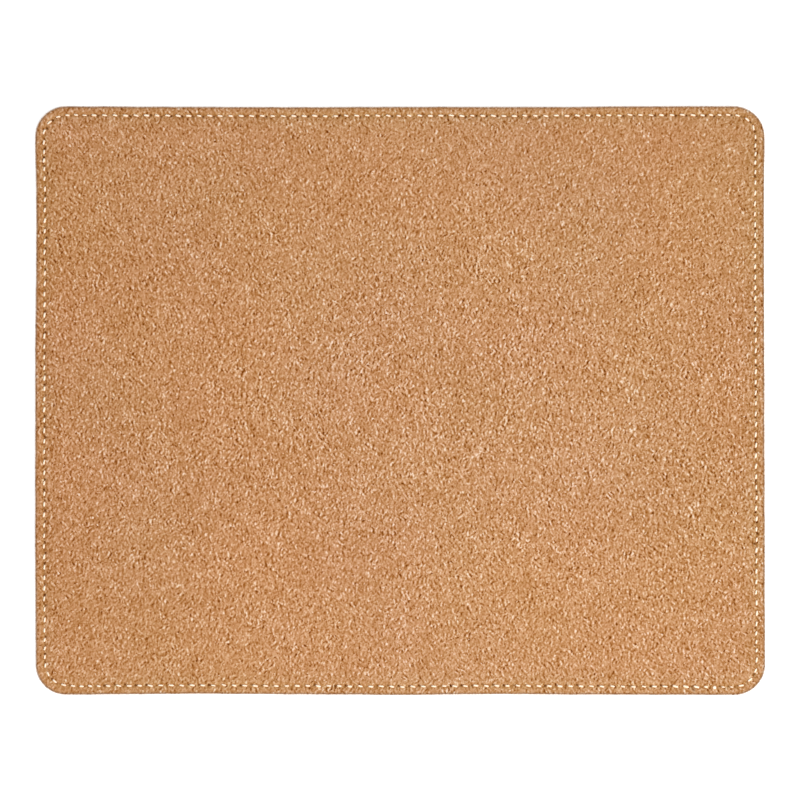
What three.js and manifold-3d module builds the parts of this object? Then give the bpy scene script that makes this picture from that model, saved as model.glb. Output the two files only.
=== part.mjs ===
// Cork mouse pad. A cork sheet and a leatherette backing are bonded by an adhesive film and
// held together round the edge by one lockstitched seam, made of an upper and a lower thread.
// Millimetres, +Z up. The origin is at the centre of the underside, and +X runs along the long side.

import * as THREE from "three";
import { mergeVertices } from "three/addons/utils/BufferGeometryUtils.js";
import Module from "manifold-3d";

const wasm = await Module();
wasm.setup();

// Driving dimensions of the sheets
const padLength = 260; // along X
const padWidth = 210; // along Y
const cornerRadius = 10.75;
const backingThickness = 0.875;
const filmThickness = 0.125;
const corkThickness = 1;
const cornerSegments = 12; // flats round each corner

// Driving dimensions of the seam
const seamInset = 3; // from the edge of the pad to the stitch line
const seamStart = 26; // from the right-hand edge to the hole where the seam starts and ends
const stitchPitch = 3.75; // evened out to a whole number of stitches
const slowPitch = 3.05; // the shorter stitches beside each corner
const slowRun = 12; // length of seam with shorter stitches, on each side of a corner
const needleThread = 0.6; // diameter of the upper thread
const needleDrawn = 0.28; // the upper thread where it is pulled thin inside a hole
const bobbinThread = 0.4; // diameter of the lower thread
const bobbinDrawn = 0.22; // the lower thread where it is pulled thin inside a hole
const corkGrooveDepth = 0.25; // how far the upper thread draws the cork down
const threadSides = 3; // flats round a thread

// Clearances
const threadClearance = 0.05; // between a thread and the sheet or thread that it bears on
const grooveMargin = 0.15; // between a needle hole and the wall of its groove
const filmMargin = 0.5; // between the seam's groove and the edge of the film

// Heights of the sheets, from the underside up
const filmBottom = backingThickness;
const corkBottom = filmBottom + filmThickness;
const padTop = corkBottom + corkThickness;

// Needle holes hold two legs of each thread, one leg at each corner of a small square.
const legOffset = (needleDrawn + bobbinDrawn) / 4 + threadClearance;
const holeSize = 2 * (legOffset + Math.max(needleThread, bobbinThread) / 2 + threadClearance);
const grooveWidth = holeSize + 2 * grooveMargin;
const filmInset = seamInset + grooveWidth / 2 + filmMargin;

// The lower thread lies flush in the backing, and the upper one stands proud of the cork.
const backingGrooveDepth = bobbinThread + 2 * threadClearance;
const corkGrooveFloor = padTop - corkGrooveDepth;
const needleRunHeight = corkGrooveFloor + threadClearance + needleThread / 2;
const bobbinRunHeight = threadClearance + bobbinThread / 2;

// The loops hook each other halfway between the two grooves: the upper thread dips under the lower one.
const lockHeight = (corkGrooveFloor + backingGrooveDepth) / 2;
const hookLift = (needleDrawn + bobbinDrawn) / 4 + threadClearance;
const needleLoopHeight = lockHeight - hookLift;
const bobbinLoopHeight = lockHeight + hookLift;

// Draws the pad's outline, moved in by inset, on a path or a shape.
// It runs anticlockwise from the corner at +X -Y.
function drawOutline(path, inset) {
  const halfLength = padLength / 2 - inset;
  const halfWidth = padWidth / 2 - inset;
  const radius = Math.max(cornerRadius - inset, threadClearance);
  const quarter = Math.PI / 2;
  path.absarc(halfLength - radius, radius - halfWidth, radius, -quarter, 0);
  path.absarc(halfLength - radius, halfWidth - radius, radius, 0, quarter);
  path.absarc(radius - halfLength, halfWidth - radius, radius, quarter, 2 * quarter);
  path.absarc(radius - halfLength, radius - halfWidth, radius, 2 * quarter, 3 * quarter);
  path.closePath();
  return path;
}

const seamPath = drawOutline(new THREE.Path(), seamInset);
const seamLength = seamPath.getLength();
const curveEnds = [0, ...seamPath.getCurveLengths()];
const bends = seamPath.curves.flatMap((curve, index) =>
  curve.isEllipseCurve ? [{ from: curveEnds[index], to: curveEnds[index + 1] }] : [],
);

// The way round the seam from one distance to another.
function wayRound(from, to) {
  return (to - from + seamLength) % seamLength;
}

// The seam is sewn slowly beside a corner, where the stitches are shorter.
function pitchAt(distance) {
  const slow = bends.some(({ from, to }) => {
    const nearest = Math.min(wayRound(distance, from), wayRound(to, distance));
    return nearest < slowRun;
  });
  return slow ? slowPitch : stitchPitch;
}

const startDistance = wayRound(seamStart - cornerRadius, 0);
const stitchStarts = [];
let sewn = 0;
while (sewn < seamLength - slowPitch / 2) {
  stitchStarts.push(sewn);
  sewn += pitchAt((startDistance + sewn) % seamLength);
}
const stitchCount = stitchStarts.length;

// The needle holes, each with its place, the way the seam runs there and the way in from the edge.
const needleHoles = stitchStarts.map((distance) => {
  const share = (startDistance / seamLength + distance / sewn) % 1;
  const place = seamPath.getPoint(share);
  const along = seamPath.getTangent(share);
  const inward = new THREE.Vector2(-along.y, along.x);
  return { place, along, inward };
});

// A point beside a hole, so far along the seam and so far in from it, at a height.
function besideHole(hole, alongBy, inwardBy, height) {
  const flat = hole.place.clone();
  flat.addScaledVector(hole.along, alongBy).addScaledVector(hole.inward, inwardBy);
  return new THREE.Vector3(flat.x, flat.y, height);
}

// The square outline of one needle hole.
function holeOutline(hole) {
  const half = holeSize / 2;
  const corners = [[-half, -half], [half, -half], [half, half], [-half, half]];
  return new THREE.Shape(corners.map(([alongBy, inwardBy]) => besideHole(hole, alongBy, inwardBy, 0)));
}

function extrude(shape, thickness) {
  return new THREE.ExtrudeGeometry(shape, {
    depth: thickness,
    bevelEnabled: false,
    curveSegments: cornerSegments / 2,
  });
}

function toSolid(geometry) {
  const bare = geometry.clone();
  bare.deleteAttribute("normal");
  bare.deleteAttribute("uv");
  const merged = mergeVertices(bare);
  return new wasm.Manifold(
    new wasm.Mesh({
      numProp: 3,
      vertProperties: merged.attributes.position.array,
      triVerts: new Uint32Array(merged.index.array),
    }),
  );
}

function toGeometry(solid) {
  const mesh = solid.getMesh();
  return new THREE.BufferGeometry()
    .setAttribute("position", new THREE.BufferAttribute(mesh.vertProperties, 3))
    .setIndex(new THREE.BufferAttribute(mesh.triVerts, 1));
}

// A full-size sheet with its needle holes, and the seam's groove cut up from grooveBottom.
function stitchedSheet(thickness, grooveBottom, grooveDepth) {
  const sheet = extrude(drawOutline(new THREE.Shape(), 0), thickness);
  const ring = drawOutline(new THREE.Shape(), seamInset - grooveWidth / 2);
  ring.holes = [drawOutline(new THREE.Path(), seamInset + grooveWidth / 2)];
  const groove = extrude(ring, grooveDepth + threadClearance).translate(0, 0, grooveBottom);
  const holes = needleHoles.map((hole) =>
    extrude(holeOutline(hole), thickness + 2 * threadClearance).translate(0, 0, -threadClearance),
  );
  const cuts = wasm.Manifold.union([groove, ...holes].map(toSolid));
  return toGeometry(toSolid(sheet).subtract(cuts));
}

// One thread of the seam: legs up and down each hole, a run from hole to hole and a loop across each hole.
// side is 1 for a thread whose legs start on the inner side of a hole, and -1 for the other.
function threadRoute(runHeight, loopHeight, side) {
  const route = [];
  needleHoles.forEach((hole, index) => {
    const next = needleHoles[(index + 1) % stitchCount];
    const inwardBy = side * legOffset;
    route.push({ at: besideHole(hole, legOffset, inwardBy, loopHeight), hole, drawn: true });
    route.push({ at: besideHole(hole, legOffset, inwardBy, runHeight), hole, drawn: false });
    route.push({ at: besideHole(next, -legOffset, -inwardBy, runHeight), hole: next, drawn: false });
    route.push({ at: besideHole(next, -legOffset, -inwardBy, loopHeight), hole: next, drawn: true });
  });
  return route;
}

// A closed tube along a thread's route, with a ring of vertices at each point and a cap at each end.
function threadGeometry(route, diameter, drawnDiameter) {
  const vertices = [];
  const triangles = [];
  route.forEach(({ at, hole, drawn }, index) => {
    const before = route[Math.max(index - 1, 0)].at;
    const after = route[Math.min(index + 1, route.length - 1)].at;
    const wayIn = at.clone().sub(before).normalize();
    const wayOut = after.clone().sub(at).normalize();
    const way = wayIn.add(wayOut).normalize();
    const outward = new THREE.Vector3(-hole.inward.x, -hole.inward.y, 0);
    const over = outward.clone().cross(way).normalize();
    const aside = over.clone().cross(way);
    const radius = (drawn ? drawnDiameter : diameter) / 2;
    for (let side = 0; side < threadSides; side++) {
      const angle = (2 * Math.PI * side) / threadSides;
      const corner = at.clone()
        .addScaledVector(over, radius * Math.cos(angle))
        .addScaledVector(aside, radius * Math.sin(angle));
      vertices.push(...corner.toArray());
    }
  });
  const vertexAt = (ring, side) => ring * threadSides + (side % threadSides);
  const lastRing = route.length - 1;
  for (let ring = 0; ring < lastRing; ring++) {
    for (let side = 0; side < threadSides; side++) {
      const [a, b] = [vertexAt(ring, side), vertexAt(ring, side + 1)];
      const [c, d] = [vertexAt(ring + 1, side), vertexAt(ring + 1, side + 1)];
      triangles.push(a, c, b, b, c, d);
    }
  }
  for (let side = 2; side < threadSides; side++) {
    triangles.push(vertexAt(0, 0), vertexAt(0, side - 1), vertexAt(0, side));
    triangles.push(vertexAt(lastRing, 0), vertexAt(lastRing, side), vertexAt(lastRing, side - 1));
  }
  return new THREE.BufferGeometry()
    .setAttribute("position", new THREE.Float32BufferAttribute(vertices, 3))
    .setIndex(triangles);
}

function corkFace() {
  const material = new THREE.MeshStandardMaterial({ color: 0xc79367, roughness: 0.85, metalness: 0 });
  const mesh = new THREE.Mesh(
    stitchedSheet(corkThickness, corkThickness - corkGrooveDepth, corkGrooveDepth),
    material,
  );
  mesh.name = "cork_face";
  mesh.position.z = corkBottom;
  return mesh;
}

// The film stops short of the seam, so that the needle doesn't gum up.
function bondFilm() {
  const material = new THREE.MeshStandardMaterial({ color: 0xd8c8a8, roughness: 0.4, metalness: 0 });
  const outline = drawOutline(new THREE.Shape(), filmInset);
  const mesh = new THREE.Mesh(extrude(outline, filmThickness), material);
  mesh.name = "bond_film";
  mesh.position.z = filmBottom;
  return mesh;
}

function backingSheet() {
  const material = new THREE.MeshStandardMaterial({ color: 0x3b2d26, roughness: 0.6, metalness: 0 });
  const mesh = new THREE.Mesh(
    stitchedSheet(backingThickness, -threadClearance, backingGrooveDepth),
    material,
  );
  mesh.name = "backing_sheet";
  return mesh;
}

function needleThreadLoop() {
  const material = new THREE.MeshStandardMaterial({ color: 0xfdf3e0, roughness: 0.7, metalness: 0 });
  const route = threadRoute(needleRunHeight, needleLoopHeight, 1);
  const mesh = new THREE.Mesh(threadGeometry(route, needleThread, needleDrawn), material);
  mesh.name = "needle_thread";
  return mesh;
}

function bobbinThreadLoop() {
  const material = new THREE.MeshStandardMaterial({ color: 0xe9dcc6, roughness: 0.7, metalness: 0 });
  const route = threadRoute(bobbinRunHeight, bobbinLoopHeight, -1);
  const mesh = new THREE.Mesh(threadGeometry(route, bobbinThread, bobbinDrawn), material);
  mesh.name = "bobbin_thread";
  return mesh;
}

const mousePad = new THREE.Group();
mousePad.add(corkFace(), bondFilm(), backingSheet(), needleThreadLoop(), bobbinThreadLoop());

export default mousePad;
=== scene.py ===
import bisect
import math
import random
import bmesh
import bpy
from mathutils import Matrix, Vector, noise


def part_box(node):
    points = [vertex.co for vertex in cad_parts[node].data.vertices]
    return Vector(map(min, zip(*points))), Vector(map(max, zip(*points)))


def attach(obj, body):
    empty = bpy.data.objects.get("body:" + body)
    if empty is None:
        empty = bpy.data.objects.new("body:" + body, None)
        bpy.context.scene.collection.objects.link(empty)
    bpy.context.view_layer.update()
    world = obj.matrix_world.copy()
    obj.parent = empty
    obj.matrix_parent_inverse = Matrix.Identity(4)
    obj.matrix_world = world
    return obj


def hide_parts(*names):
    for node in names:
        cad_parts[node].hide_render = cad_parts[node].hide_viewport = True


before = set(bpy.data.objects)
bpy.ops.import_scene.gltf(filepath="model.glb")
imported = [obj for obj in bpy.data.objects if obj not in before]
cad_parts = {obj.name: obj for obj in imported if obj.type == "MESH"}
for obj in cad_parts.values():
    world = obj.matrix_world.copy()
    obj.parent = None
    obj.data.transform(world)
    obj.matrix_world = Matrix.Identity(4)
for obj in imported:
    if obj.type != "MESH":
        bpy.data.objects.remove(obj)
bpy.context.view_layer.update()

mm = 0.001
corkLow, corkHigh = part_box("cork_face")
backLow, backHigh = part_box("backing_sheet")
halfX, halfY = corkHigh.x, corkHigh.y


def linear(red, green, blue):
    def channel(value):
        share = value / 255
        return share / 12.92 if share <= 0.04045 else ((share + 0.055) / 1.055) ** 2.4
    return (channel(red), channel(green), channel(blue), 1.0)


def within(share):
    return min(1.0, max(0.0, share))


def bell(away, width):
    # 1 in the middle, and next to nothing two widths away
    return math.exp(-((away / width) ** 2))


# The cut edge and the seam that follows it

cut = {
    "cornerRadius": 10.75 * mm,
    "cornerFlats": 44,
    "spacing": 0.31 * mm,  # between points along the edge
    "layers": 2,  # rows of points across the upright edge
    "rimRound": 0.16 * mm,
    "rimFlats": 2,
    "rimEdge": 0.5,  # points nearer the edge than so many rim rounds are on the cut,
    "rimSpread": 0.1 * mm,  # which stands out a little
    "rimDark": 0.5 * mm,  # how far in from the edge the sheet is painted darker
    "worn": (0.9, 1.2),  # how far down and how far in the corner is rubbed, in rim rounds
    "waver": 0.015 * mm,
    "waves": ((31, 2.5), (53, 4.4), (89, 0.0)),  # how many go round the pad, and where each begins
    "crumb": 0.05 * mm,  # broken grains along the cut
    "crumbSize": 0.9 * mm,
    # where each side runs out or in, in mm, by share of the side, anticlockwise from the corner at +X -Y
    "lean": (
        ((0, 0.38), (0.2, 0.32), (0.45, 0.19), (0.75, 0.05), (0.86, 0.0), (1, 0.18)),
        ((0, 0.14), (0.15, 0.11), (0.26, -0.11), (0.5, -0.08), (0.66, -0.2), (0.86, -0.04), (1, 0.09)),
        ((0, 0.27), (0.14, -0.12), (0.25, -0.04), (0.4, 0.27), (0.75, 0.33), (1, 0.1)),
        ((0, 0.0), (0.2, -0.28), (0.38, -0.05), (0.5, 0.14), (0.64, -0.16), (0.8, 0.04), (1, 0.13)),
    ),
    "leanFull": 4.2 * mm,  # the lean is whole as far in as this,
    "leanEnd": 6.0 * mm,  # and gone here, where the seam's relief ends too
    "sameLevel": 0.001 * mm,  # points this near a face's height are on it
    "sharpFrom": math.radians(50),  # edges turning more than this aren't smoothed
}
seam = {
    "inset": 3 * mm,
    "start": 26 * mm,  # from the right-hand edge to the hole where it begins and ends
    "pitch": 3.75 * mm,
    "slowPitch": 3.05 * mm,  # beside a corner
    "slowRun": 12 * mm,
    # how far inside its line each side was sewn, in mm, as the lean is given
    "sewnIn": (
        ((0, 0.02), (1, 0.3)),
        ((0, 0.08), (1, 0.13)),
        ((0, 0.0), (0.6, 0.22), (1, 0.14)),
        ((0, 0.1), (0.6, 0.08), (1, 0.0)),
    ),
    "cornerCut": (0.0, 0.0, 0.0, 0.5 * mm),  # how far inside each bend's arc it was sewn
    "cutReach": 4 * mm,  # and how far that is felt before and after
    "slant": 0.29 * mm,  # a stitch starts so far inside the line and ends so far outside it
    "slantHold": 6,  # a higher power holds the slant until nearer the hole
    "lip": (1.4, 0.5),  # where the sheet stands up beside the seam, and how wide, in valley widths
    "seed": 11,
    "strayAcross": 0.06 * mm,
    "straySlant": 0.35,
    "strayThick": 0.07,
    "strayHole": 0.16 * mm,
    "reach": (0.9, 1.14),  # the least and the most that shows of a stitch
    "sink": (-0.02 * mm, 0.05 * mm),
    "holeShown": (-0.1, 1.3),  # the least and the most that a needle's hole shows before its stitch
    "overlap": (-2, -1, 0),  # the stitches round the start, sewn over twice
    "overlapLaid": {"reach": 1.15, "thick": 1.2, "slant": 0.493 * mm, "sink": 0.0},
    "knot": 2,  # the stitch under the melted end, counted from the start
    "knotLaid": {"reach": 0.7, "thick": 1.1, "slant": 0.0, "sink": 0.05 * mm, "across": -0.3 * mm},
    "thin": (3, 4),  # the stitches that sank beside it
    "thinLaid": {"reach": 0.8, "thick": 0.8, "sink": 0.06 * mm, "across": -0.12 * mm},
    "tear": (0.4 * mm, -0.65 * mm, 1.6 * mm),  # where the first hole pulled: along, across, length
    "tearWidth": 0.36 * mm,
}

bendRadius = cut["cornerRadius"] - seam["inset"]
quarter = math.pi / 2
bendLength = bendRadius * quarter
sideX = 2 * (halfX - cut["cornerRadius"])
sideY = 2 * (halfY - cut["cornerRadius"])
seamLength = 2 * (sideX + sideY) + 4 * bendLength
# each bend is followed by its side, anticlockwise from the corner at +X -Y
bends = []
reached = 0.0
for signX, signY, side in ((1, -1, sideY), (1, 1, sideX), (-1, 1, sideY), (-1, -1, sideX)):
    centre = Vector((signX * sideX / 2, signY * sideY / 2))
    bends.append({"from": reached, "centre": centre, "side": side})
    reached += bendLength + side


def wayRound(start, end):
    return (end - start) % seamLength


def shortWay(start, end):
    # the shorter way round, negative where that runs back
    return wayRound(start, end + seamLength / 2) - seamLength / 2


def bendBefore(distance):
    # the bend that a place on the seam is in or after, and how far it is from the bend's start
    distance = distance % seamLength
    turn = max(k for k in range(4) if bends[k]["from"] <= distance)
    return turn, distance - bends[turn]["from"]


def seamPoint(distance):
    # a place on the seam, and the way out to the edge there
    turn, into = bendBefore(distance)
    angle = (turn - 1 + min(into / bendLength, 1.0)) * quarter
    outward = Vector((math.cos(angle), math.sin(angle)))
    along = Vector((-outward.y, outward.x))
    place = bends[turn]["centre"] + outward * bendRadius + along * max(into - bendLength, 0.0)
    return place, outward


def seamPlace(x, y):
    # how far in from the edge a point lies, and how far along the seam
    overX = abs(x) - sideX / 2
    overY = abs(y) - sideY / 2
    if overX > 0 and overY > 0:
        turn = (0 if y < 0 else 1) if x > 0 else (2 if y > 0 else 3)
        centre = bends[turn]["centre"]
        angle = math.atan2(y - centre.y, x - centre.x) - (turn - 1) * quarter
        share = (angle % (2 * math.pi)) / quarter
        return cut["cornerRadius"] - math.hypot(overX, overY), bends[turn]["from"] + share * bendLength
    if halfX - abs(x) < halfY - abs(y):
        turn, run = (0, y + sideY / 2) if x > 0 else (2, sideY / 2 - y)
        inset = halfX - abs(x)
    else:
        turn, run = (1, sideX / 2 - x) if y > 0 else (3, x + sideX / 2)
        inset = halfY - abs(y)
    return inset, bends[turn]["from"] + bendLength + run


def bySide(sides, distance):
    # what each side's rows give here, eased from row to row and round the bends
    turn, into = bendBefore(distance)
    rows = sides[turn]
    if into < bendLength:
        rows = ((0, sides[turn - 1][-1][1]), (1, rows[0][1]))
        share = into / bendLength
    else:
        share = (into - bendLength) / bends[turn]["side"]
    for (one, low), (two, high) in zip(rows, rows[1:]):
        if share <= two:
            part = (share - one) / (two - one)
            return (low + (high - low) * part * part * (3 - 2 * part)) * mm
    return rows[-1][1] * mm


def edgeLean(distance):
    # how far outside its straight line the cut runs here, and the seam with it
    return bySide(cut["lean"], distance)


def waver(distance):
    turns = 2 * math.pi * distance / seamLength
    return cut["waver"] * sum(math.sin(count * turns + begin) for count, begin in cut["waves"])


def pitchAt(distance):
    for bend in bends:
        before = wayRound(distance, bend["from"])
        after = wayRound(bend["from"] + bendLength, distance)
        if min(before, after) < seam["slowRun"]:
            return seam["slowPitch"]
    return seam["pitch"]


def cornerCut(distance):
    reach = bendLength / 2 + seam["cutReach"]
    for bend, depth in zip(bends, seam["cornerCut"]):
        off = shortWay(bend["from"] + bendLength / 2, distance)
        if abs(off) < reach:
            return depth * math.cos(off / reach * quarter)
    return 0.0


def layStitches():
    draw = random.Random(seam["seed"])
    start = wayRound(seam["start"] - cut["cornerRadius"], 0)
    starts, sewn = [], 0.0
    while sewn < seamLength - seam["slowPitch"] / 2:
        starts.append(sewn)
        sewn += pitchAt((start + sewn) % seamLength)
    starts.append(sewn)
    stitches = []
    for one, two in zip(starts, starts[1:]):
        middle = start + (one + two) / 2 * seamLength / sewn
        sewnIn = bySide(seam["sewnIn"], middle) + cornerCut(middle)
        stitches.append({
            "from": start + one * seamLength / sewn,
            "length": (two - one) * seamLength / sewn,
            "across": draw.gauss(0, 1) * seam["strayAcross"] + sewnIn,
            "slant": seam["slant"] * (1 + draw.gauss(0, seam["straySlant"])),
            "thick": 1 + draw.gauss(0, 1) * seam["strayThick"],
            "reach": draw.uniform(*seam["reach"]),
            "sink": draw.uniform(*seam["sink"]),
            "bright": draw.uniform(0.0, 1.0),
            "hole": within(draw.uniform(*seam["holeShown"])),
            "holeAcross": draw.gauss(0, seam["strayHole"]),
        })
    for index in seam["overlap"]:
        stitches[index].update(seam["overlapLaid"])
    stitches[seam["knot"]].update(seam["knotLaid"])
    for index in seam["thin"]:
        stitches[index].update(seam["thinLaid"])
    return start, stitches


seamStart, stitches = layStitches()
stitchStarts = [stitch["from"] - seamStart for stitch in stitches]
print("seam: stitches", len(stitches), "length mm", round(seamLength / mm, 1))


def stitchAt(distance):
    # the stitch over a place on the seam, and where on it: -1 at its first hole, 1 at its last
    gone = wayRound(seamStart, distance)
    stitch = stitches[max(0, bisect.bisect_right(stitchStarts, gone) - 1)]
    return stitch, 2 * (gone - (stitch["from"] - seamStart)) / stitch["length"] - 1


def alongAt(stitch, share):
    return stitch["from"] + (share + 1) / 2 * stitch["length"]


def lineAcross(stitch, share):
    # the thread's line, measured in from the seam; two stitches meet in the middle of their hole
    return stitch["across"] - stitch["slant"] * share * (1 - abs(share) ** seam["slantHold"])


def threadSpot(distance, across):
    # a point so far in from the seam's line, which leans with the edge
    place, outward = seamPoint(distance)
    return place + outward * (edgeLean(distance) - across)


def readRun(rows, share):
    # rows start with a share of the way from a stitch's middle to its hole
    for one, two in zip(rows, rows[1:]):
        if share <= two[0]:
            part = (share - one[0]) / (two[0] - one[0])
            return [a + (b - a) * part for a, b in zip(one[1:], two[1:])]
    return rows[-1][1:]


# Sheets

corkSheet = {
    "valley": 0.1 * mm,  # how far the seam draws the sheet down
    "valleyWidth": 0.9 * mm,
    "lip": 0.04 * mm,  # cork pushed up beside the seam
    # share of half a stitch, depth in mm, half width in mm, darkness of the painted shade in the groove
    "groove": (
        (0.0, 0.12, 0.40, 0.1),
        (0.32, 0.14, 0.38, 0.15),
        (0.42, 0.28, 0.30, 0.25),
        (0.52, 0.26, 0.24, 0.3),
        (0.66, 0.10, 0.20, 0.2),
        (1.0, 0.06, 0.18, 0.12),
    ),
    "holeAt": -0.78,  # of half a stitch
    "holeSize": 0.36 * mm,
    "holeDepth": 0.3 * mm,
    "holeShadeSpread": 1.8,  # how far a hole's painted shade spreads over its rim
    "tearDepth": 0.35 * mm,
    # mm in from the edge, with the seam's own rings measured from the seam
    "ringsOutside": (0.32, 0.6, 0.95, 1.35, 1.7),
    "ringsSeam": (-1.0, -0.7, -0.5, -0.4, -0.3, -0.2, -0.1, 0, 0.1, 0.2, 0.3, 0.4, 0.5, 0.7, 1.0),
    "ringsInside": (4.6, 6.0),
    "crumb": cut["crumb"],
}
backingSheet = {
    "valley": 0.08 * mm,
    "valleyWidth": 0.9 * mm,
    "lip": 0.0,
    # share of half a stitch, depth in mm, half width in mm, darkness of the painted shade in the groove
    "groove": (
        (0.0, 0.32, 0.34, 0.3),
        (0.6, 0.34, 0.34, 0.4),
        (0.84, 0.46, 0.28, 0.9),
        (1.0, 0.5, 0.24, 1.0),
    ),
    "holeAt": -1.0,
    "holeSize": 0.2 * mm,
    "holeDepth": 0.0,
    "holeShadeSpread": 1.0,
    "tearDepth": 0.0,
    "ringsOutside": (0.5, 1.4),
    "ringsSeam": (-0.9, -0.6, -0.45, -0.3, -0.15, 0, 0.15, 0.3, 0.45, 0.6, 0.9),
    "ringsInside": (4.6, 6.0),
    "crumb": 0.2 * cut["crumb"],
    "rimLift": 0.115 * mm,  # pressed up against the cork outside the glue
    "rimLiftRings": (3.6, 4.1),
}


def roundOff(bm, geom, affect, offset, flats):
    bmesh.ops.bevel(
        bm, geom=geom, offset=offset, offset_type="OFFSET", affect=affect,
        segments=flats, profile=0.5, material=-1,
    )


def cutSheet(low, high):
    thick = high - low
    bm = bmesh.new()
    bmesh.ops.create_grid(bm, x_segments=1, y_segments=1, size=1)
    bmesh.ops.scale(bm, vec=(halfX, halfY, 1), verts=bm.verts)
    bmesh.ops.translate(bm, vec=(0, 0, low), verts=bm.verts)
    roundOff(bm, bm.verts[:], "VERTICES", cut["cornerRadius"], cut["cornerFlats"])
    for edge in [edge for edge in bm.edges if edge.calc_length() > cut["cornerRadius"]]:
        bmesh.ops.subdivide_edges(bm, edges=[edge], cuts=round(edge.calc_length() / cut["spacing"]) - 1)
    raised = bmesh.ops.extrude_face_region(bm, geom=bm.faces[:], use_keep_orig=True)["geom"]
    raised = [part for part in raised if isinstance(part, bmesh.types.BMVert)]
    bmesh.ops.translate(bm, vec=(0, 0, thick), verts=raised)
    bmesh.ops.recalc_face_normals(bm, faces=bm.faces)
    upright = [edge for edge in bm.edges if abs(edge.verts[0].co.z - edge.verts[1].co.z) > thick / 2]
    bmesh.ops.subdivide_edges(bm, edges=upright, cuts=cut["layers"], use_grid_fill=True)
    rim = [edge for edge in bm.edges if any(len(face.verts) > 4 for face in edge.link_faces)]
    roundOff(bm, rim, "EDGES", cut["rimRound"], cut["rimFlats"])
    return bm


def ringFace(bm, up, rings):
    # rings inside the upper or lower face, each so many mm in from the edge
    face = max((face for face in bm.faces if len(face.verts) > 4), key=lambda face: up * face.normal.z)
    level = face.calc_center_median().z
    done = cut["rimRound"]
    for ring in rings:
        bmesh.ops.inset_region(
            bm, faces=[face], thickness=ring * mm - done, use_boundary=True, use_even_offset=True
        )
        done = ring * mm
    return level


def seamRings(style):
    across = [seam["inset"] / mm + step for step in style["ringsSeam"]]
    return (*style["ringsOutside"], *across, *style["ringsInside"])


def tornHole(across, distance):
    # 1 along the short crease where the first hole pulled towards the edge
    stepAlong, stepAcross, length = seam["tear"]
    lean = Vector((stepAlong, stepAcross)).normalized()
    spot = Vector((shortWay(seamStart, distance), across))
    run = min(max(spot.dot(lean), 0.0), length)
    return bell((spot - lean * run).length, seam["tearWidth"])


def seamRelief(style, inset, distance):
    # how far the seam draws a face in, how far it is pressed (its valley also takes painted shade), and
    # how dark the painted shade in its groove, crease or hole is
    across = inset - seam["inset"]
    stitch, share = stitchAt(distance)
    depth, width, dark = readRun(style["groove"], within(abs(share) / stitch["reach"]))
    groove = bell(across - lineAcross(stitch, share), width * mm)
    valley = bell(across, style["valleyWidth"])
    lipAt, lipWidth = seam["lip"]
    lip = bell(abs(across) / style["valleyWidth"] - lipAt, lipWidth)
    torn = tornHole(across, distance) if style["tearDepth"] else 0.0
    holeAlong = (share - style["holeAt"]) * stitch["length"] / 2
    holeAcross = across - lineAcross(stitch, style["holeAt"]) - stitch["holeAcross"]
    hole = stitch["hole"] * bell(math.hypot(holeAlong, holeAcross), style["holeSize"])
    sink = max(depth * mm * groove, style["tearDepth"] * torn, style["holeDepth"] * hole)
    sink += style["valley"] * valley - style["lip"] * lip
    # the groove, the tear's crease and the needle holes are painted dark: painted shade in them
    return sink, valley, max(groove * dark, torn, within(style["holeShadeSpread"] * hole))


def dressSheet(bm, style, level, up):
    # sinks the seam into one face and strays the cut edge, and keeps what the finish needs at each point
    kept = {"seamPress": [], "seamDark": [], "cutRim": [], "wornRim": []}
    wornDown, wornIn = (rounds * cut["rimRound"] for rounds in cut["worn"])
    for vert in bm.verts:
        inset, distance = seamPlace(vert.co.x, vert.co.y)
        sink, pressedAndShaded, darkened = 0.0, 0.0, 0.0
        if abs(vert.co.z - level) < cut["sameLevel"] and inset < cut["leanEnd"]:
            sink, pressedAndShaded, darkened = seamRelief(style, inset, distance)
        rubbed = up * (level - vert.co.z) < wornDown and inset < wornIn
        kept["seamPress"].append(pressedAndShaded)
        kept["seamDark"].append(darkened)
        kept["cutRim"].append(bell(max(inset, 0), cut["rimDark"]))
        kept["wornRim"].append(1.0 if rubbed else 0.0)
        fade = (cut["leanEnd"] - inset) / (cut["leanEnd"] - cut["leanFull"])
        stray = edgeLean(distance) * within(fade)
        stray += waver(distance) * max(0.0, 1 - inset / seam["inset"])
        if inset < cut["rimEdge"] * cut["rimRound"]:
            stray += cut["rimSpread"] + style["crumb"] * noise.noise(vert.co / cut["crumbSize"])
        outward = seamPoint(distance)[1]
        vert.co.x += outward.x * stray
        vert.co.y += outward.y * stray
        vert.co.z -= up * sink
    return kept


def keepOnPoints(mesh, kept):
    for title, values in kept.items():
        mesh.attributes.new(title, "FLOAT", "POINT").data.foreach_set("value", values)


def toScene(name, data):
    piece = bpy.data.objects.new(name, data)
    bpy.context.scene.collection.objects.link(piece)
    return piece


def toPiece(bm, name, kept=None):
    mesh = bpy.data.meshes.new(name)
    bm.to_mesh(mesh)
    bm.free()
    keepOnPoints(mesh, kept or {})
    mesh.shade_smooth()
    mesh.set_sharp_from_angle(angle=cut["sharpFrom"])
    print(name, "points", len(mesh.vertices))
    return toScene(name, mesh)


def makeCork():
    bm = cutSheet(corkLow.z, corkHigh.z)
    level = ringFace(bm, 1, seamRings(corkSheet))
    return toPiece(bm, "corkSheet", dressSheet(bm, corkSheet, level, 1))


def makeBacking():
    bm = cutSheet(backLow.z, backHigh.z)
    ringFace(bm, 1, backingSheet["rimLiftRings"])
    level = ringFace(bm, -1, seamRings(backingSheet))
    kept = dressSheet(bm, backingSheet, level, -1)
    liftFrom, liftTo = (ring * mm for ring in backingSheet["rimLiftRings"])
    for vert in bm.verts:
        inset = seamPlace(vert.co.x, vert.co.y)[0]
        if vert.co.z > (backLow.z + backHigh.z) / 2:
            vert.co.z += within((liftTo - inset) / (liftTo - liftFrom)) * backingSheet["rimLift"]
    return toPiece(bm, "backingLeatherette", kept)


# Threads

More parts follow.
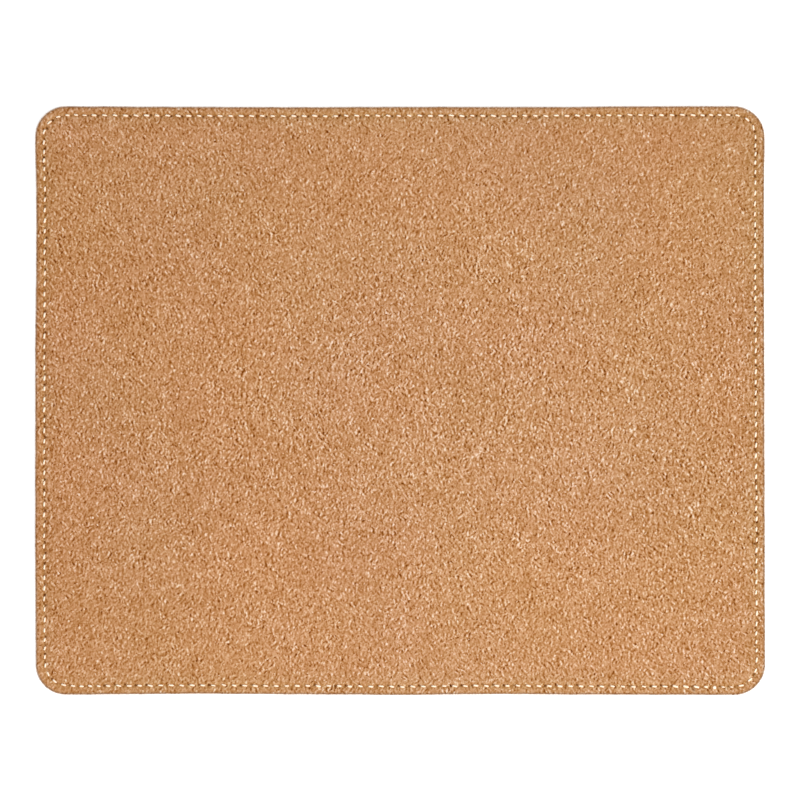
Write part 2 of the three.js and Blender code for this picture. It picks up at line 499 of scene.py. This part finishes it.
upperThread = {
    "radius": 0.39 * mm,
    "flat": 0.6,  # its height by its width, pulled tight
    "sides": 1,
    "uneven": True,  # each stitch has its own reach, thickness and sink
    # share of half a stitch, height over the face in mm, thickness
    "run": (
        (0.0, 0.07, 1.0),
        (0.26, 0.06, 1.0),
        (0.37, -0.03, 0.94),
        (0.47, -0.3, 0.72),
        (0.97, -0.95, 0.42),
    ),
    # where the thread dives into the cork, the finish paints it brown: painted shade in the groove and
    # hole
    "sunkFrom": 0.31,
    "sunkTo": 0.41,
    "shaded": (0.4, 0.1),  # how dark the painted shade on the sunk ends is: by a needle's hole, and at the other end
    "flankBounceShare": 1.0,  # how far the sides, by how far they face away from up, take painted warm bounce light from the cork
    "bead": (0.66 * mm, 0.62 * mm, 0.34 * mm),  # the melted end: half its length, width and height
    "beadUp": 0.1 * mm,
    "beadRough": 0.16,  # how uneven it is,
    "beadGrain": 0.5 * mm,  # and how coarsely
    "beadSplits": 3,
}
lowerThread = {
    "radius": 0.2 * mm,
    "flat": 1.0,
    "sides": 1,
    "uneven": False,
    "run": (
        (0.0, -0.2, 1.0),
        (0.5, -0.22, 1.0),
        (0.72, -0.36, 0.95),
        (0.88, -0.6, 0.85),
        (0.97, -0.85, 0.7),
    ),
    "sunkFrom": 0.7,
    "sunkTo": 0.92,
    "shaded": (0.4, 0.1),
    "flankBounceShare": 0.3,
    "bead": None,
}


def meltEnd(mesh, style, level):
    # the bead that the cut end was melted to, on the stitch it was tied off at
    stitch = stitches[seam["knot"]]
    spot = threadSpot(alongAt(stitch, 0), stitch["across"])
    bm = bmesh.new()
    bm.from_mesh(mesh)
    bead = bmesh.ops.create_icosphere(bm, subdivisions=style["beadSplits"], radius=1)["verts"]
    bmesh.ops.scale(bm, vec=style["bead"], verts=bead)
    for vert in bead:
        vert.co *= 1 + style["beadRough"] * noise.noise(vert.co / style["beadGrain"])
    bmesh.ops.translate(bm, vec=(spot.x, spot.y, level + style["beadUp"]), verts=bead)
    bm.to_mesh(mesh)
    bm.free()


def stitchLaid(stitch, style):
    if style["uneven"]:
        return stitch["reach"], stitch["thick"], stitch["sink"]
    return 1.0, 1.0, 0.0


def layTube(name, style, shares, level, up):
    # one closed tube along all the stitches, with a ring of points at each share of a stitch
    curve = bpy.data.curves.new(name, "CURVE")
    curve.dimensions = "3D"
    curve.bevel_depth = style["radius"]
    curve.bevel_resolution = style["sides"]
    spline = curve.splines.new("POLY")
    spline.use_cyclic_u = True
    spline.points.add(len(stitches) * len(shares) - 1)
    points = iter(spline.points)
    for stitch in stitches:
        reach, swell, sink = stitchLaid(stitch, style)
        for share in shares:
            height, thick = readRun(style["run"], within(abs(share) / reach))
            spot = threadSpot(alongAt(stitch, share), lineAcross(stitch, share))
            point = next(points)
            point.co = (spot.x, spot.y, level + up * (height * mm - sink), 1)
            point.radius = thick * swell
    shape = toScene(name, curve)
    bpy.context.view_layer.update()
    graph = bpy.context.evaluated_depsgraph_get()
    mesh = bpy.data.meshes.new_from_object(shape.evaluated_get(graph))
    bpy.data.objects.remove(shape)
    bpy.data.curves.remove(curve)
    mesh.name = name
    return mesh


def sewThread(name, style, level, up):
    half = [row[0] for row in style["run"]]
    shares = [-share for share in reversed(half)] + half[1:]
    mesh = layTube(name, style, shares, level, up)
    tube = len(mesh.vertices)
    ring = tube // (len(stitches) * len(shares))
    for first in range(0, tube, ring):
        around = mesh.vertices[first:first + ring]
        middle = sum(vert.co.z for vert in around) / ring
        for vert in around:
            vert.co.z = middle + (vert.co.z - middle) * style["flat"]
    if style["bead"]:
        meltEnd(mesh, style, level)
    mesh.shade_smooth()
    mesh.update()
    kept = {"sunk": [], "shaded": [], "flank": [], "bright": [], "laid": []}
    byHole, byEnd = style["shaded"]
    for index, vert in enumerate(mesh.vertices):
        onBead = index >= tube
        stitch = stitches[seam["knot"] if onBead else index // ring // len(shares)]
        share = 0.0 if onBead else shares[index // ring % len(shares)]
        deep = abs(share) / stitchLaid(stitch, style)[0]
        kept["sunk"].append(within((deep - style["sunkFrom"]) / (style["sunkTo"] - style["sunkFrom"])))
        kept["shaded"].append(byHole * stitch["hole"] if share < 0 else byEnd)
        # painted bounce light: the sides facing away from up get a warm peach in the finish
        kept["flank"].append(style["flankBounceShare"] * (1 - max(0.0, up * vert.normal.z)))
        kept["bright"].append(stitch["bright"])
        kept["laid"].append(alongAt(stitch, share) / mm)
    keepOnPoints(mesh, kept)
    print(name, "points", len(mesh.vertices), "round", ring)
    return toScene(name, mesh)


# Finishes

class Wire:
    # a socket that Python's operators work on, each adding a Math node
    def __init__(self, finish, socket):
        self.finish = finish
        self.socket = socket

    def __add__(self, other):
        return self.finish.maths("ADD", self, other)

    def __radd__(self, other):
        return self.finish.maths("ADD", other, self)

    def __sub__(self, other):
        return self.finish.maths("SUBTRACT", self, other)

    def __rsub__(self, other):
        return self.finish.maths("SUBTRACT", other, self)

    def __mul__(self, other):
        return self.finish.maths("MULTIPLY", self, other)

    def __rmul__(self, other):
        return self.finish.maths("MULTIPLY", other, self)


class Finish:
    def __init__(self, name):
        self.material = bpy.data.materials.new(name)
        self.material.use_nodes = True
        self.tree = self.material.node_tree
        self.tree.nodes.clear()

    def node(self, kind, settings=None, sockets=None, out=0):
        made = self.tree.nodes.new(kind)
        for title, value in (settings or {}).items():
            if title == "stops":
                ramp = made.color_ramp
                while len(ramp.elements) < len(value):
                    ramp.elements.new(0.5)
                for element, (place, colour) in zip(ramp.elements, value):
                    element.position = place
                    element.color = colour
            else:
                setattr(made, title, value)
        for title, value in (sockets or {}).items():
            if isinstance(value, Wire):
                self.tree.links.new(value.socket, made.inputs[title])
            else:
                made.inputs[title].default_value = value
        return Wire(self, made.outputs[out]) if made.outputs else None

    def maths(self, operation, *values):
        return self.node("ShaderNodeMath", {"operation": operation}, dict(enumerate(values)))

    def vectors(self, operation, *values):
        return self.node("ShaderNodeVectorMath", {"operation": operation}, dict(enumerate(values)))

    def axis(self, vector, number):
        return self.node("ShaderNodeSeparateXYZ", None, {"Vector": vector}, number)

    def channel(self, colour, number):
        return self.node("ShaderNodeSeparateColor", None, {"Color": colour}, number)

    def clamp(self, value):
        return self.node("ShaderNodeClamp", None, {"Value": value})

    def mixColour(self, share, one, two, blend="MIX"):
        settings = {"data_type": "RGBA", "blend_type": blend}
        return self.node("ShaderNodeMix", settings, {0: share, 6: one, 7: two}, 2)

    def stretch(self, where, wide, tall, deep):
        sockets = {"Vector": where, "Scale": (1 / wide, 1 / tall, 1 / deep)}
        return self.node("ShaderNodeMapping", {"vector_type": "POINT"}, sockets)

    def place(self, wide, tall, deep):
        # where a point is, counted in steps of so many mm
        where = self.node("ShaderNodeTexCoord", None, None, "Object")
        return self.stretch(where, wide * mm, tall * mm, deep * mm)

    def noise(self, where, scale=1.0, detail=0.0, roughness=0.5, twist=0.0, out="Fac"):
        sockets = {"Vector": where, "Scale": scale, "Detail": detail}
        sockets.update({"Roughness": roughness, "Distortion": twist})
        return self.node("ShaderNodeTexNoise", {"noise_dimensions": "3D"}, sockets, out)

    def swing(self, where, **settings):
        # noise to either side of nought
        return self.noise(where, **settings) - 0.5

    def cells(self, sockets, out, feature="F1", sides="3D"):
        settings = {"voronoi_dimensions": sides, "feature": feature}
        return self.node("ShaderNodeTexVoronoi", settings, sockets, out)

    def attribute(self, title):
        return self.node("ShaderNodeAttribute", {"attribute_name": title}, None, "Fac")

    def bump(self, height, distance, strength):
        sockets = {"Height": height, "Distance": distance * mm, "Strength": strength}
        return self.node("ShaderNodeBump", None, sockets)

    def surface(self, colour, roughness, normal, level):
        shader = self.node("ShaderNodeBsdfPrincipled", None, {
            "Base Color": colour, "Roughness": roughness, "Normal": normal, "Specular IOR Level": level,
        })
        self.node("ShaderNodeOutputMaterial", None, {"Surface": shader})
        return self.material


corkLook = {
    "chip": (1.9, 2.5),  # mm across and up the photo
    "chipNoise": {"scale": 0.9},  # bends the chips' outlines,
    "chipWarp": 1.2,  # by so many mm at most
    "chipTurn": 0.45,  # how far a chip's grain leans either way
    "sheetTurn": (0.06, 2.1e-5),  # how it leans all over, and more in opposite corners (by mm x mm)
    "grain": (0.95, 1.21),
    "grainTwist": 0.5,
    "beside": (0.7, 0.3),  # mm to the neighbours that a grain stands out from, and their share
    "above": (1.1, 0.045),
    "grainGain": 0.725,
    "grainCube": 4.4,  # makes the few strong grains stronger
    # how deep the press bit: in the middle, less across, less up, less by corner, less towards the top
    "bite": (1.075, 0.05, 0.16, 0.07, 0.03),
    "biteNoise": {"scale": 0.22, "detail": 1.0, "roughness": 0.6},
    "biteGain": 0.7,  # how much that differs from place to place
    "fineNoise": {"scale": 2.1, "twist": 0.3},
    "fineGain": 0.22,
    "dustNoise": {"scale": 5.5, "detail": 2.0, "roughness": 0.65},  # seen only from close by
    "dustGain": 0.11,
    "patchNoise": {"scale": 0.21, "detail": 2.0, "roughness": 0.6},
    "patchGain": 0.16,
    "slowNoise": {"scale": 0.02, "detail": 1.0},  # slow changes all over the sheet
    "slowTone": 0.045,
    "slowRosy": 0.62,
    "slowWarm": 1.3,
    "sideTone": 0.027,  # how much darker the left and right sides are than the middle
    "curl": (1.7, 2.4),  # thin light curls
    "curlTwist": 0.8,
    "curlThin": 11,
    "curlNoise": {"scale": 0.9},  # shows them here and there,
    "curlGate": (0.45, 5),  # above this value, and how suddenly
    "curlGain": 0.2,
    "spot": (1, 1.4),
    "spotScale": 0.62,
    "spotEdge": (1.5, 5),
    "fleckOf": 12,  # a spot in so many is light,
    "fleck": 0.53,
    "speckOf": 9,  # and a spot in so many dark
    "speck": 0.38,
    "middle": 0.49,
    "stops": (
        (0.0, linear(104, 49, 6)),
        (0.22, linear(148, 88, 33)),
        (0.38, linear(171, 118, 70)),
        (0.5, linear(188, 138, 97)),
        (0.62, linear(203, 157, 121)),
        (0.78, linear(222, 185, 157)),
        (1.0, linear(237, 215, 198)),
    ),
    "hueNoise": {"scale": 0.9, "detail": 1.0, "roughness": 0.6},
    "hueGain": 0.75,
    "olive": linear(248, 255, 244),
    "rosy": linear(255, 245, 251),
    # painted light: the lamp's tint, warmer on the left and cooler on the right
    "sideLightTint": 0.5,
    "left": linear(255, 250, 248),
    "right": linear(250, 251, 253),
    "border": 7.0,  # mm in to the middle of the change to the edge's tint,
    "borderTint": 0.2,  # and how much of it a mm makes
    "plain": linear(255, 255, 255),
    "edge": linear(252, 255, 254),
    "warm": linear(255, 253, 239),
    "cool": linear(253, 255, 255),
    "pressedAndShaded": linear(247, 244, 224),  # what the seam's valley leaves of the cork's colour: the pressed cork, with painted shade, and a needle's hole: painted shade in it, over the darker cork inside
    "hole": linear(154, 118, 42),  # and a needle's hole
    # a darker band along the edge
    "cut": linear(91, 59, 31),
    "cutShare": (0.96, 1.2, 0.8),  # how whole the dark band along the edge is, and how patches and fine grain break it
    "worn": linear(230, 214, 202),  # the rubbed corner of the cut,
    "wornTint": 0.55,  # how far it takes over the cork's colour,
    "wornShare": (0.88, 1.5, 1.8),  # and how whole it is
    "rough": (0.88, 0.1),  # less where the grain is light
    "relief": (0.1, 0.3),  # mm, and strength
    "shine": 0.06,
}


def makeCorkFinish():
    finish = Finish("corkGrain")
    plain = finish.place(1, 1, 1)

    # each chip of cork was pressed with its grain another way
    warp = finish.noise(plain, **corkLook["chipNoise"], out="Color")
    wavy = finish.vectors("MULTIPLY_ADD", warp, (corkLook["chipWarp"],) * 3, plain)
    chipWide, chipTall = corkLook["chip"]
    chips = {"Vector": finish.stretch(wavy, chipWide, chipTall, chipWide), "Scale": 1.0}
    chipLean = finish.channel(finish.cells(chips, "Color"), 0) - 0.5
    chipSpot = finish.cells(chips, "Position")
    chipAcross = finish.axis(chipSpot, 0) * chipWide
    chipUp = finish.axis(chipSpot, 1) * chipTall
    leanAll, leanCorners = corkLook["sheetTurn"]
    lean = leanAll + chipAcross * chipUp * leanCorners + chipLean * (2 * corkLook["chipTurn"])
    turning = {"Vector": plain, "Angle": lean}
    turned = finish.node("ShaderNodeVectorRotate", {"rotation_type": "Z_AXIS"}, turning)

    # a grain stands out from its neighbours, more strongly where the press bit
    wide, tall = corkLook["grain"]
    where = finish.stretch(turned, wide, tall, wide)
    grain = finish.swing(where, twist=corkLook["grainTwist"])
    besideStep, besideShare = corkLook["beside"]
    aboveStep, aboveShare = corkLook["above"]
    for side in (-1, 1):
        beside = (side * besideStep / wide, 0, 0)
        above = (0, side * aboveStep / tall, 0)
        for step, share in ((beside, besideShare), (above, aboveShare)):
            near = finish.vectors("ADD", where, step)
            grain = grain - finish.swing(near, twist=corkLook["grainTwist"]) * share
    across = finish.axis(plain, 0) * (mm / halfX)
    along = finish.axis(plain, 1) * (mm / halfY)
    biteMiddle, biteAcross, biteUp, biteCorner, biteTop = corkLook["bite"]
    bite = biteMiddle - across * across * biteAcross
    bite = bite - along * (along * biteUp + across * biteCorner + biteTop)
    biteHere = finish.swing(plain, **corkLook["biteNoise"])
    grain = grain * (bite + biteHere * corkLook["biteGain"])

    fine = finish.swing(where, **corkLook["fineNoise"])
    patch = finish.swing(plain, **corkLook["patchNoise"])
    dust = finish.swing(plain, **corkLook["dustNoise"])
    slow = finish.noise(plain, **corkLook["slowNoise"], out="Color")
    slowTone, slowRosy, slowWarm = (finish.channel(slow, number) - 0.5 for number in range(3))
    tone = corkLook["middle"] + grain * corkLook["grainGain"]
    tone = tone + grain * grain * grain * corkLook["grainCube"]
    tone = tone + fine * corkLook["fineGain"] + dust * corkLook["dustGain"]
    tone = tone + patch * corkLook["patchGain"] + slowTone * corkLook["slowTone"]
    tone = tone - (across * across - 1 / 3) * corkLook["sideTone"]

    curlWide, curlTall = corkLook["curl"]
    curlPlace = finish.stretch(turned, curlWide, curlTall, curlWide)
    curl = finish.maths("ABSOLUTE", finish.swing(curlPlace, twist=corkLook["curlTwist"]))
    curl = finish.clamp(1 - curl * corkLook["curlThin"])
    gateFrom, gateSudden = corkLook["curlGate"]
    gate = finish.clamp((finish.noise(plain, **corkLook["curlNoise"]) - gateFrom) * gateSudden)
    tone = tone + curl * gate * corkLook["curlGain"]

    spotWide, spotTall = corkLook["spot"]
    spots = {"Vector": finish.place(spotWide, spotTall, spotWide), "Scale": corkLook["spotScale"]}
    edgeFrom, edgeSudden = corkLook["spotEdge"]
    spot = finish.clamp(edgeFrom - finish.cells(spots, "Distance", sides="2D") * edgeSudden)
    pick = finish.channel(finish.cells(spots, "Color", sides="2D"), 0)
    light = finish.clamp(1 - (1 - pick) * corkLook["fleckOf"]) * corkLook["fleck"]
    dark = finish.clamp(1 - pick * corkLook["speckOf"]) * corkLook["speck"]
    tone = tone + spot * (light - dark)

    colour = finish.node("ShaderNodeValToRGB", {"stops": corkLook["stops"]}, {"Fac": tone})
    hue = finish.swing(where, **corkLook["hueNoise"])
    fromSide, fromEnd = (
        half / mm - finish.maths("ABSOLUTE", share) * (half / mm)
        for half, share in ((halfX, across), (halfY, along))
    )
    fromEdge = finish.maths("MINIMUM", fromSide, fromEnd)
    for share, one, two in (
        (hue * corkLook["hueGain"] + slowRosy * corkLook["slowRosy"], "olive", "rosy"),
        # painted light: warmer on the left, cooler on the right
        (across * corkLook["sideLightTint"], "left", "right"),
        ((corkLook["border"] - fromEdge) * corkLook["borderTint"], "plain", "edge"),
        (slowWarm * corkLook["slowWarm"], "cool", "warm"),
    ):
        tint = finish.mixColour(finish.clamp(0.5 + share), corkLook[one], corkLook[two])
        colour = finish.mixColour(1.0, colour, tint, "MULTIPLY")

    def broken(title, shares):
        whole, byPatch, byFine = shares
        return finish.clamp(finish.attribute(title) * (whole + patch * byPatch + fine * byFine))

    rubbed = finish.mixColour(corkLook["wornTint"], colour, corkLook["worn"])
    # the sheet is painted darker along its edge
    colour = finish.mixColour(broken("cutRim", corkLook["cutShare"]), colour, corkLook["cut"])
    colour = finish.mixColour(broken("wornRim", corkLook["wornShare"]), colour, rubbed)
    # painted shade: the seam's valley is tinted darker, for the pressed cork and for the shade in it
    colour = finish.mixColour(finish.attribute("seamPress"), colour, corkLook["pressedAndShaded"], "MULTIPLY")
    # painted shade in the seam's groove, the tear's crease and the needle holes, over the darker cork
    # inside the holes
    colour = finish.mixColour(finish.attribute("seamDark"), colour, corkLook["hole"], "MULTIPLY")
    rough, roughLess = corkLook["rough"]
    relief = finish.bump(tone, *corkLook["relief"])
    return finish.surface(colour, rough - tone * roughLess, relief, corkLook["shine"])


leatherLook = {
    "pebble": 1.25,  # mm
    "pebbleNoise": {"scale": 1.1, "detail": 2.0, "roughness": 0.6},
    "pebbleWarp": 0.9,
    "pebbleStray": 0.85,
    "pebbleRise": 3.2,  # how steeply it rises from its creases
    "poreNoise": {"scale": 7.0, "detail": 1.0},
    "poreRelief": (0.9, 0.2),
    "tintNoise": {"scale": 0.05, "detail": 3.0},
    "tintPebble": 0.5,
    "tintPore": 0.4,
    "skin": linear(62, 46, 38),
    "skinLight": linear(82, 62, 51),
    # painted shade: the colour in the creases between pebbles and in the seam's groove
    "crease": linear(38, 27, 22),
    "creaseEdge": 1.7,
    "skinThick": 0.34,  # mm
    "skinRagged": 0.2,
    "skinEdge": 9,
    "fibre": (0.35, 0.35, 0.1),
    "fibreNoise": {"detail": 2.0},
    "fibreTint": (2, 0.5),
    "cloth": linear(128, 106, 84),
    "clothDark": linear(84, 66, 50),
    "rough": (0.62, 0.14, 0.25),  # less on a pebble, more on the cloth
    "relief": (0.08, 0.6),
    "shine": 0.4,
}


def makeLeatherFinish():
    finish = Finish("leatheretteGrain")
    where = finish.place(*(leatherLook["pebble"],) * 3)
    warp = finish.noise(where, **leatherLook["pebbleNoise"], out="Color")
    wavy = finish.vectors("MULTIPLY_ADD", warp, (leatherLook["pebbleWarp"],) * 3, where)
    pebbles = {"Vector": wavy, "Scale": 1.0, "Randomness": leatherLook["pebbleStray"]}
    fromCrease = finish.cells(pebbles, "Distance", feature="DISTANCE_TO_EDGE")
    slope = finish.clamp(fromCrease * leatherLook["pebbleRise"])
    pores = finish.noise(where, **leatherLook["poreNoise"])
    poreLow, poreHigh = leatherLook["poreRelief"]
    pebble = slope * (2 - slope) * (poreLow + pores * poreHigh)
    pick = finish.channel(finish.cells(pebbles, "Color"), 0) - 0.5
    tint = finish.noise(where, **leatherLook["tintNoise"]) + pick * leatherLook["tintPebble"]
    tint = finish.clamp(tint + (pores - 0.5) * leatherLook["tintPore"])
    skin = finish.mixColour(tint, leatherLook["skin"], leatherLook["skinLight"])
    # painted shade: the lower a point lies between pebbles, the darker it is
    raised = finish.clamp(pebble * leatherLook["creaseEdge"])
    colour = finish.mixColour(raised, leatherLook["crease"], skin)
    # painted shade: the seam's groove and holes on the underside darken to the crease colour
    colour = finish.mixColour(finish.attribute("seamDark"), colour, leatherLook["crease"])

    # the cloth under the skin shows along the cut
    fibre = finish.noise(finish.place(*leatherLook["fibre"]), **leatherLook["fibreNoise"])
    height = finish.axis(finish.place(1, 1, 1), 2)
    ragged = (fibre - 0.5) * leatherLook["skinRagged"]
    cloth = finish.clamp((height - leatherLook["skinThick"] + ragged) * leatherLook["skinEdge"])
    fibreGain, fibreLess = leatherLook["fibreTint"]
    fibreTint = finish.clamp(fibre * fibreGain - fibreLess)
    clothColour = finish.mixColour(fibreTint, leatherLook["clothDark"], leatherLook["cloth"])
    colour = finish.mixColour(cloth, colour, clothColour)
    rough, roughLess, roughMore = leatherLook["rough"]
    relief = finish.bump(pebble + (fibre - pebble) * cloth, *leatherLook["relief"])
    rough = rough - pebble * roughLess + cloth * roughMore
    return finish.surface(colour, rough, relief, leatherLook["shine"])


threadLook = {
    "cream": linear(255, 248, 230),
    "shade": linear(255, 236, 210),
    "tint": (0.5, 0.4, 0.5, 0.15),  # how far fibres, each stitch and the plies darken it, less so much; the plies' part is painted shade between them
    # painted bounce light from the cork on the thread's sides
    "flank": linear(255, 190, 132),
    # painted shade on the ends that dive into the cork, darkest by a needle's hole
    "sunk": linear(178, 111, 54),
    "shaded": linear(92, 46, 4),
    "plies": 3,
    "plyStep": 0.46,  # mm along the thread from one ply to the next
    "fibre": 0.1,  # mm
    "fibreNoise": {"detail": 2.0},
    "fibreRelief": 0.4,
    "rough": (0.6, 0.2),
    "relief": (0.06, 0.5),
    "shine": 0.3,
}


def makeThreadFinish(name):
    finish = Finish(name)
    fibre = finish.noise(finish.place(*(threadLook["fibre"],) * 3), **threadLook["fibreNoise"])
    unrolled = finish.node("ShaderNodeUVMap", {"uv_map": "UVMap"})
    around = finish.axis(unrolled, 1)
    turns = finish.attribute("laid") * (1 / threadLook["plyStep"]) + around * threadLook["plies"]
    ply = 0.5 + finish.maths("SINE", turns * (2 * math.pi)) * 0.5
    byFibre, byStitch, byPly, less = threadLook["tint"]
    # the plies' part is painted shade in the grooves between them
    tint = fibre * byFibre + finish.attribute("bright") * byStitch + (1 - ply) * byPly - less
    colour = finish.mixColour(finish.clamp(tint), threadLook["cream"], threadLook["shade"])
    # painted bounce light: the sides turn a warm peach
    colour = finish.mixColour(finish.attribute("flank"), colour, threadLook["flank"])
    # painted shade on the thread where it dives into the cork
    sunk = finish.mixColour(finish.attribute("shaded"), threadLook["sunk"], threadLook["shaded"])
    colour = finish.mixColour(finish.attribute("sunk"), colour, sunk)
    rough, roughMore = threadLook["rough"]
    relief = finish.bump(ply + fibre * threadLook["fibreRelief"], *threadLook["relief"])
    return finish.surface(colour, rough + fibre * roughMore, relief, threadLook["shine"])


filmLook = {
    "cloud": 3.3,  # mm
    "cloudNoise": {"detail": 3.0},
    "pale": linear(222, 205, 170),
    "deep": linear(198, 178, 140),
    "rough": (0.35, 0.2),
    "relief": (0.03, 0.3),
    "shine": 0.4,
}


def makeFilmFinish():
    finish = Finish("curedFilm")
    cloud = finish.noise(finish.place(*(filmLook["cloud"],) * 3), **filmLook["cloudNoise"])
    colour = finish.mixColour(cloud, filmLook["pale"], filmLook["deep"])
    rough, roughMore = filmLook["rough"]
    relief = finish.bump(cloud, *filmLook["relief"])
    return finish.surface(colour, rough + cloud * roughMore, relief, filmLook["shine"])


# The pieces on their body

cork = makeCork()
backing = makeBacking()
upperStitches = sewThread("upperStitches", upperThread, corkHigh.z - corkSheet["valley"], 1)
lowerStitches = sewThread("lowerStitches", lowerThread, backLow.z, -1)
cork.data.materials.append(makeCorkFinish())
backing.data.materials.append(makeLeatherFinish())
upperStitches.data.materials.append(makeThreadFinish("upperThreadTwist"))
lowerStitches.data.materials.append(makeThreadFinish("lowerThreadTwist"))
film = bpy.data.objects["bond_film"]
film.data.materials.clear()
film.data.materials.append(makeFilmFinish())

for piece, node, slot in (
    (cork, "cork_face", "cork"),
    (backing, "backing_sheet", "leatherette"),
    (upperStitches, "needle_thread", "upper_thread"),
    (lowerStitches, "bobbin_thread", "lower_thread"),
):
    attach(piece, "root")
    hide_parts(node)
print("pieces dressed")

# Studio

studio = {
    "lens": 85.0,
    "sensor": 36.0,
    "photoSide": 800,  # px
    "perPixel": 0.3571 * mm,
    "padMiddle": (400.03, 400.66),  # px
    "white": (1, 1, 1, 1),
    "fill": 0.3,
    "keyPlace": (0.56, -0.56, 1.2),
    "keySize": 1.0,
    "keyPower": 25.6,
    "floorHalf": 4,  # m
    "floorGrey": (0.6, 0.6, 0.6, 1),
    "floorRough": 0.9,
    "floorShine": 0.1,
    "floorGlow": 0.8,
    "floorGap": 0.2 * mm,  # keeps the floor's face off the pad's
}


def makeFloor():
    bm = bmesh.new()
    bmesh.ops.create_grid(bm, x_segments=1, y_segments=1, size=studio["floorHalf"])
    bmesh.ops.translate(bm, vec=(0, 0, -studio["floorGap"]), verts=bm.verts)
    floor = toPiece(bm, "floor")
    finish = Finish("paleFloor")
    shader = finish.node("ShaderNodeBsdfPrincipled", None, {
        "Base Color": studio["floorGrey"], "Roughness": studio["floorRough"],
        "Specular IOR Level": studio["floorShine"],
        "Emission Color": studio["white"], "Emission Strength": studio["floorGlow"],
    })
    # seen from below, the floor lets the pad's underside show
    behind = finish.node("ShaderNodeNewGeometry", None, None, "Backfacing")
    clear = finish.node("ShaderNodeBsdfTransparent")
    oneSided = finish.node("ShaderNodeMixShader", None, {0: behind, 1: shader, 2: clear})
    finish.node("ShaderNodeOutputMaterial", None, {"Surface": oneSided})
    floor.data.materials.append(finish.material)


def makeLights(scene):
    world = bpy.data.worlds.new("softRoom")
    scene.world = world
    world.use_nodes = True
    world.node_tree.nodes["Background"].inputs["Color"].default_value = studio["white"]
    world.node_tree.nodes["Background"].inputs["Strength"].default_value = studio["fill"]
    lamp = bpy.data.lights.new("keyBox", "AREA")
    lamp.shape = "SQUARE"
    lamp.size = studio["keySize"]
    lamp.energy = studio["keyPower"]
    key = toScene("keyBox", lamp)
    key.location = studio["keyPlace"]
    key.rotation_euler = (-Vector(studio["keyPlace"])).to_track_quat("-Z", "Y").to_euler()


def makeCamera(scene):
    # straight above, with the pad's face at the photo's scale and place
    lens = bpy.data.cameras.new("camera")
    lens.lens = studio["lens"]
    lens.sensor_width = studio["sensor"]
    camera = toScene("camera", lens)
    frameWidth = studio["photoSide"] * studio["perPixel"]
    height = corkHigh.z + frameWidth * studio["lens"] / studio["sensor"]
    middleX, middleY = studio["padMiddle"]
    offX = (studio["photoSide"] / 2 - middleX) * studio["perPixel"]
    offY = (middleY - studio["photoSide"] / 2) * studio["perPixel"]
    camera.location = (offX, offY, height)
    scene.camera = camera
    print("studio ready, camera height m", round(height, 3))


bpy.context.scene.view_settings.view_transform = "Standard"
makeFloor()
makeLights(bpy.context.scene)
makeCamera(bpy.context.scene)
